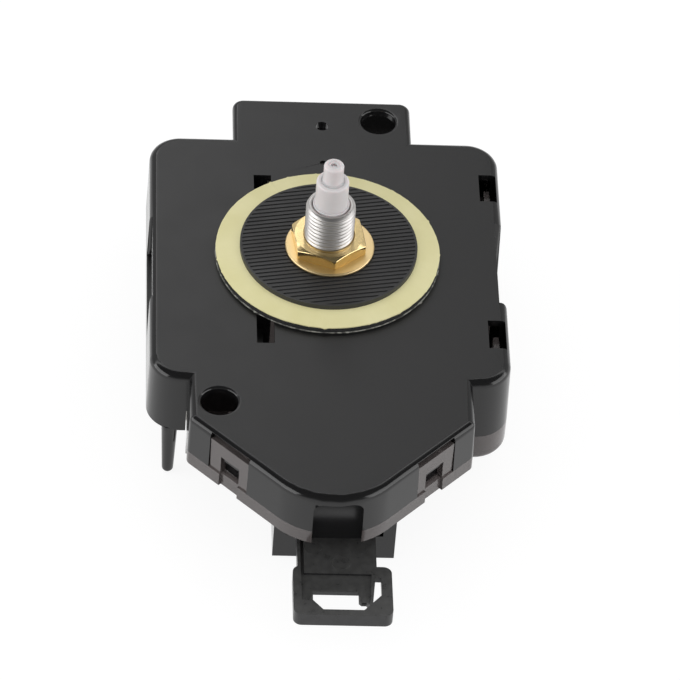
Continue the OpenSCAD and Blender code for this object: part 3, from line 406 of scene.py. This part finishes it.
def rubber():
    """Dull black rubber, a little cloudy."""
    s = Shader("rubber", rough=0.5)
    cloud = s.noise(4, detail=4)
    s.color(s.mix_color(cloud, (0.02, 0.02, 0.0205), (0.03, 0.03, 0.031)))
    s.rough(s.ramp(cloud, 0.3, 0.7, 0.42, 0.58))
    s.bump(s.noise(0.2, detail=3), 0.012, 0.6)
    return s.material


def winding():
    """Enamelled copper wire, wound in fine turns."""
    s = Shader("copper_wire", color=(0.62, 0.22, 0.08), rough=0.28, metal=1)
    wave = s.node("ShaderNodeTexWave", bands_direction="Y")
    wave.inputs["Scale"].default_value = 1 / (0.9 * MM)
    wave.inputs["Distortion"].default_value = 0.6
    s.link(s.place, wave.inputs["Vector"])
    s.color(s.mix_color(s.noise(0.5), (0.5, 0.17, 0.06), (0.75, 0.3, 0.11)))
    s.bump(wave.outputs["Fac"], 0.05, 0.7)
    return s.material


def laminate():
    """Green solder mask over copper tracks."""
    s = Shader("board", rough=0.3)
    bricks = s.node("ShaderNodeTexBrick")
    bricks.inputs["Scale"].default_value = 1 / (3.2 * MM)
    bricks.inputs["Mortar Size"].default_value = 0.05
    bricks.inputs["Color1"].default_value = (0.012, 0.1, 0.035, 1)
    bricks.inputs["Color2"].default_value = (0.02, 0.13, 0.05, 1)
    bricks.inputs["Mortar"].default_value = (0.008, 0.06, 0.022, 1)
    s.link(s.place, bricks.inputs["Vector"])
    s.color(bricks.outputs["Color"])
    s.bump(bricks.outputs["Fac"], 0.03, 0.5)
    return s.material


def make_materials():
    return {
        "black_plastic": black_plastic(),
        "smoke_plastic": smoke_plastic(),
        "hanger_plastic": hanger_plastic(),
        "white_plastic": satin_plastic("white_plastic", (0.72, 0.71, 0.66), (0.8, 0.79, 0.75)),
        "nylon": satin_plastic("nylon", (0.66, 0.62, 0.63), (0.74, 0.7, 0.7), translucency=0.7, rough=0.36),
        "gear_plastic": satin_plastic(
            "gear_plastic", (0.72, 0.68, 0.58), (0.8, 0.77, 0.68), translucency=0.3
        ),
        "bobbin_plastic": satin_plastic("bobbin_plastic", (0.64, 0.6, 0.46), (0.74, 0.7, 0.56)),
        "nickel": plated("nickel", (0.57, 0.553, 0.54), 0.38, streaks=(0.3, 0.3, 3)),
        "brass": plated("brass", (0.96, 0.74, 0.37), 0.15),
        "steel": plated("steel", (0.62, 0.62, 0.63), 0.25),
        "iron_sheet": plated("iron_sheet", (0.4, 0.4, 0.4), 0.42, streaks=(0.2, 3, 1)),
        "magnet": satin_plastic("magnet", (0.05, 0.05, 0.055), (0.09, 0.09, 0.095), rough=0.55),
        "copper_wire": winding(),
        "contact_strip": plated("contact_strip", (0.6, 0.59, 0.56), 0.24, streaks=(1, 1, 0.2)),
        "foam": foam(),
        "foam_film": foam_film(),
        "release_paper": release_paper(),
        "rubber": rubber(),
        "board": laminate(),
        "potting": satin_plastic("potting", (0.006, 0.006, 0.006), (0.012, 0.012, 0.012), rough=0.2),
    }


def paint(obj, material):
    obj.data.materials.clear()
    obj.data.materials.append(material)


# Bush, nut and pads

TURN = 128                    # points round the bush
THREAD_PITCH = 0.75
THREAD_DEPTH = 0.24
THREAD_R = 3.95
THREAD_FROM = 2.2             # height where the thread starts
THREAD_RUN_IN = 0.5           # height over which it reaches its full depth
BUSH_BORE = 2.95
BUSH_FOOT = 3.7               # radius of the neck in the case's hole
BUSH_CHAMFER = 0.45
FLANGE_T = 0.8


def threaded_bush():
    """The bush with a real helical thread, in the box of its CAD node."""
    low, high = (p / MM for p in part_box("dial_bush"))
    flange_r = high.x
    core_r = THREAD_R - THREAD_DEPTH
    flange_top = low.z + FLANGE_T
    rings = [circle(r, z, TURN) for r, z in (
        (BUSH_BORE, low.z), (flange_r - 0.1, low.z), (flange_r, low.z + 0.1), (flange_r, flange_top - 0.1),
        (flange_r - 0.1, flange_top), (BUSH_FOOT, flange_top), (BUSH_FOOT, -0.02), (core_r, 0.3),
        (core_r, THREAD_FROM - 0.05),
    )]
    steps = 10
    rows = int((high.z - 0.05 - THREAD_FROM) / THREAD_PITCH * steps)
    for j in range(rows + 1):
        z = THREAD_FROM + j * THREAD_PITCH / steps
        full = min(1, (z - THREAD_FROM) / THREAD_RUN_IN)
        chamfered = THREAD_R - BUSH_CHAMFER + (high.z - z) * 1.1
        ring = []
        for i in range(TURN):
            phase = (z / THREAD_PITCH - i / TURN) % 1
            flank = min(1, max(0, 1.35 * (1 - abs(2 * phase - 1)) - 0.15))
            r = min(core_r + THREAD_DEPTH * flank * full, chamfered)
            ring.append((r * math.cos(2 * math.pi * i / TURN), r * math.sin(2 * math.pi * i / TURN), z))
        rings.append(ring)
    top_r = THREAD_R - BUSH_CHAMFER
    rings += [circle(r, z, TURN) for r, z in (
        (top_r, high.z - 0.03), (top_r - 0.08, high.z),
        (BUSH_BORE + 0.22, high.z), (BUSH_BORE, high.z - 0.25),
    )]
    return closed_loft("bush_thread", [[Vector(p) * MM for p in ring] for ring in rings])


NUT_FLATS = 11.0
NUT_TURN = -82                # degrees from +X to a corner
NUT_BORE = 3.72
NUT_SLOPE = 24                # degrees of the chamfer on its upper face
NUT_CORNER = 29.2             # degrees from the middle of a side to where its corner is turned off
NUT_POINTS = 192


def hexagon(angle):
    """Radius of the nut's hexagon at an angle in degrees."""
    local = (angle - NUT_TURN) % 60 - 30
    return NUT_FLATS / 2 / math.cos(math.radians(local))


def chamfered_nut():
    """Nut with a turned chamfer on its upper face and a countersunk bore."""
    low, high = (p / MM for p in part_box("hex_nut"))
    slope = math.tan(math.radians(NUT_SLOPE))
    start = NUT_FLATS / 2 - 0.08
    corner = NUT_FLATS / 2 / math.cos(math.radians(NUT_CORNER))
    rings = []

    def ring(radius, z):
        points = []
        for i in range(NUT_POINTS):
            a = 360 * i / NUT_POINTS
            r, height = radius(a), z(a)
            points.append(Vector((r * math.cos(math.radians(a)), r * math.sin(math.radians(a)), height)) * MM)
        rings.append(points)

    def outer(shrink):
        return lambda a: min(hexagon(a), corner) - shrink

    def drop(a, shrink=0.0):
        return max(0.0, (outer(shrink)(a) - start) * slope)

    ring(lambda a: NUT_BORE, lambda a: low.z)
    ring(outer(0.04), lambda a: low.z)
    ring(outer(0), lambda a: low.z + 0.04)
    ring(outer(0), lambda a: high.z - drop(a) - 0.05)
    ring(outer(0.06), lambda a: high.z - drop(a, 0.06))
    ring(lambda a: start, lambda a: high.z)
    ring(lambda a: NUT_BORE + 0.42, lambda a: high.z)
    ring(lambda a: NUT_BORE, lambda a: high.z - 0.4)
    nut = closed_loft("nut", rings)
    sharpen(nut, 24)
    return nut


PAD_POINTS = 360
PAD_BORE = 4.0
FILM_T = 0.12


def pad_ring(name, low_z, high_z, outer, wobble, seed, edge=0.03, burr=0.0):
    """A punched disc whose cut edge wanders a little and may have burrs."""
    random.seed(seed)
    shift = Vector((random.uniform(0, 50), random.uniform(0, 50), 0))

    def cut(a, inset):
        place = Vector((math.cos(a), math.sin(a), 0)) * 9 + shift
        spike = max(0.0, noise.noise(place * 3.1) - 0.35) * burr
        return outer - inset + spike + wobble * (noise.noise(place * 0.35) + 0.6 * noise.noise(place * 1.9))

    def bore(z):
        return [Vector(p) * MM for p in circle(PAD_BORE, z, PAD_POINTS)]

    def ring(inset, z):
        turns = (2 * math.pi * i / PAD_POINTS for i in range(PAD_POINTS))
        return [Vector((cut(a, inset) * math.cos(a), cut(a, inset) * math.sin(a), z)) * MM for a in turns]

    rings = [
        bore(low_z), ring(edge, low_z), ring(0, low_z + edge),
        ring(0, high_z - edge), ring(edge, high_z), bore(high_z),
    ]
    disc = closed_loft(name, rings)
    sharpen(disc, 50)
    return disc


def make_pads(materials):
    low, high = (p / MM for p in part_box("foam_pad"))
    film_top = low.z + FILM_T
    foam_disc = pad_ring("foam_disc", film_top, high.z, high.x - 0.2, 0.04, seed=4)
    film = pad_ring("foam_film", low.z, film_top, high.x - 0.08, 0.05, seed=9, edge=0.02, burr=0.5)
    low, high = (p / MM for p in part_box("pad_liner"))
    liner = pad_ring("liner_disc", low.z, high.z, high.x - 0.09, 0.07, seed=6, burr=0.5)
    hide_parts("foam_pad")
    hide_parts("pad_liner")
    looks = (
        (foam_disc, "foam", "foam"),
        (film, "release_paper", "foam_film"),
        (liner, "release_paper", "release_paper"),
    )
    for piece, slot, look in looks:
        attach(piece, "case")
        paint(piece, materials[look])


# Stage

FLOOR_REACH = 3.0
FLOOR_LIGHT = 0.85            # brightness that the floor gives back to the part
FLOOR_SEEN = 0.17             # share of the seen floor that takes shadows
FLOOR_GLOW = 0.89             # share of the seen floor that stays white


def make_floor():
    """White floor that shows a soft shadow to the camera and can't be seen from below."""
    low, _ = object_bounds()
    corners = ((-1, -1), (1, -1), (1, 1), (-1, 1))
    verts = [(x * FLOOR_REACH, y * FLOOR_REACH, low.z) for x, y in corners]
    floor = add_object("floor", verts, [(0, 1, 2, 3)], smooth=False)
    material = bpy.data.materials.new("floor")
    material.use_nodes = True
    tree = material.node_tree
    tree.nodes.clear()
    new = tree.nodes.new
    out = new("ShaderNodeOutputMaterial")
    seen = light_path_factor(tree, ("Is Camera Ray", "Is Glossy Ray", "Is Transmission Ray"))
    plain = new("ShaderNodeBsdfDiffuse")
    plain.inputs["Color"].default_value = (FLOOR_LIGHT,) * 3 + (1,)
    shadow = new("ShaderNodeBsdfDiffuse")
    shadow.inputs["Color"].default_value = (FLOOR_SEEN,) * 3 + (1,)
    glow = new("ShaderNodeEmission")
    glow.inputs["Strength"].default_value = FLOOR_GLOW
    both = new("ShaderNodeAddShader")
    tree.links.new(shadow.outputs[0], both.inputs[0])
    tree.links.new(glow.outputs[0], both.inputs[1])
    mix = new("ShaderNodeMixShader")
    tree.links.new(seen, mix.inputs[0])
    tree.links.new(plain.outputs[0], mix.inputs[1])
    tree.links.new(both.outputs[0], mix.inputs[2])
    clear = new("ShaderNodeBsdfTransparent")
    side = new("ShaderNodeNewGeometry")
    sided = new("ShaderNodeMixShader")
    tree.links.new(side.outputs["Backfacing"], sided.inputs[0])
    tree.links.new(mix.outputs[0], sided.inputs[1])
    tree.links.new(clear.outputs[0], sided.inputs[2])
    tree.links.new(sided.outputs[0], out.inputs["Surface"])
    paint(floor, material)


def light_path_factor(tree, rays):
    """1 for rays of these kinds and 0 for the others."""
    path = tree.nodes.new("ShaderNodeLightPath")
    total = path.outputs[rays[0]]
    for name in rays[1:]:
        add = tree.nodes.new("ShaderNodeMath")
        add.operation = "MAXIMUM"
        tree.links.new(total, add.inputs[0])
        tree.links.new(path.outputs[name], add.inputs[1])
        total = add.outputs[0]
    return total


# Brightness of the tent that gloss and glass show, by degrees from the front horizon over the top to the back
TENT = (
    (0, 0.95), (10, 0.7), (24, 0.16), (104, 0.12), (115, 0.4),
    (118, 2.6), (123, 2.6), (127, 0.64), (160, 0.68), (180, 0.9),
)
TENT_MOST = 3.0
DIFFUSE_LEVEL = 0.72


def make_world():
    """White for the camera and an even grey for matt surfaces. Gloss and glass show the tent."""
    world = bpy.data.worlds.new("studio")
    bpy.context.scene.world = world
    world.use_nodes = True
    tree = world.node_tree
    tree.nodes.clear()
    new, link = tree.nodes.new, tree.links.new

    def calculate(operation, a, b):
        made = new("ShaderNodeMath")
        made.operation = operation
        for socket, value in zip(made.inputs, (a, b)):
            if isinstance(value, (int, float)):
                socket.default_value = value
            else:
                link(value, socket)
        return made.outputs[0]

    def choose(factor, a, b):
        made = new("ShaderNodeMix")
        made.data_type = "FLOAT"
        for socket, value in zip(made.inputs, (factor, None, a, b)):
            if isinstance(value, (int, float)):
                socket.default_value = value
            elif value is not None:
                link(value, socket)
        return made.outputs[0]

    split = new("ShaderNodeSeparateXYZ")
    link(new("ShaderNodeTexCoord").outputs["Generated"], split.inputs[0])
    front = calculate("MULTIPLY", split.outputs["Y"], -1.0)
    turn = calculate("ARCTAN2", split.outputs["Z"], front)
    ramp = new("ShaderNodeValToRGB")
    stops = ramp.color_ramp.elements
    for degrees, level in TENT:
        place = degrees / 180
        stop = stops[0] if place == 0 else stops[-1] if place == 1 else stops.new(place)
        stop.color = (level / TENT_MOST,) * 3 + (1,)
    link(calculate("DIVIDE", turn, math.pi), ramp.inputs[0])
    tent = calculate("MULTIPLY", ramp.outputs[0], TENT_MOST)
    shown = light_path_factor(tree, ("Is Glossy Ray", "Is Transmission Ray"))
    seen = light_path_factor(tree, ("Is Camera Ray",))
    background = new("ShaderNodeBackground")
    link(choose(seen, choose(shown, DIFFUSE_LEVEL, tent), 1.0), background.inputs["Strength"])
    link(background.outputs[0], new("ShaderNodeOutputWorld").inputs["Surface"])


def area_lamp(name, place, size, watts):
    """Rectangular lamp that points at the origin."""
    data = bpy.data.lights.new(name, "AREA")
    data.shape = "RECTANGLE"
    data.size, data.size_y = size
    data.energy = watts
    lamp = bpy.data.objects.new(name, data)
    bpy.context.scene.collection.objects.link(lamp)
    lamp.location = place
    lamp.rotation_euler = (-Vector(place)).to_track_quat("-Z", "Y").to_euler()


SIDE_LAMP = (1.2, 0.75)
SIDE_AWAY, SIDE_FORWARD, SIDE_UP = 1.03, -0.28, 0.28
PANEL = (0.12, 0.12)


def make_lights():
    """Two large lamps at the sides and a small panel behind the part, left of the middle."""
    area_lamp("lamp_left", (-SIDE_AWAY, SIDE_FORWARD, SIDE_UP), SIDE_LAMP, 7.5)
    area_lamp("lamp_right", (SIDE_AWAY, SIDE_FORWARD, SIDE_UP), SIDE_LAMP, 6.6)
    area_lamp("panel_left", (-0.05, 0.244, 0.215), PANEL, 0.07)


# Assembly

# Width in millimetres of the rounding on a node's edges
EDGE = {
    "front_case": 0.12, "back_cover": 0.1, "pendulum_housing": 0.12, "pendulum_arm": 0.14,
    "brass_washer": 0.06, "rubber_washer": 0.05, "setting_knob": 0.15, "middle_plate": 0.1,
    "contact_positive": 0.05, "contact_negative": 0.05, "hour_wheel": 0.05, "minute_shaft": 0.05,
}


def main():
    make_camera()
    materials = make_materials()
    slots = {p["node"]: p["material_slot"] for p in frame["record"]["subparts"]}
    for node, obj in nodes.items():
        paint(obj, materials[slots[node]])
    group = smoothing_nodes()
    for node, obj in nodes.items():
        soften(obj, group, EDGE.get(node, 0))
    make_pads(materials)
    turned = ((threaded_bush(), "dial_bush", "nickel"), (chamfered_nut(), "hex_nut", "brass"))
    for piece, node, slot in turned:
        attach(piece, "case")
        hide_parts(node)
        paint(piece, materials[slot])
    paint(nodes["brass_washer"], ring_brushed("brass_turned", (0.86, 0.66, 0.35), 0.38))
    make_floor()
    make_world()
    make_lights()
    bpy.context.scene.view_settings.view_transform = "Standard"


main()
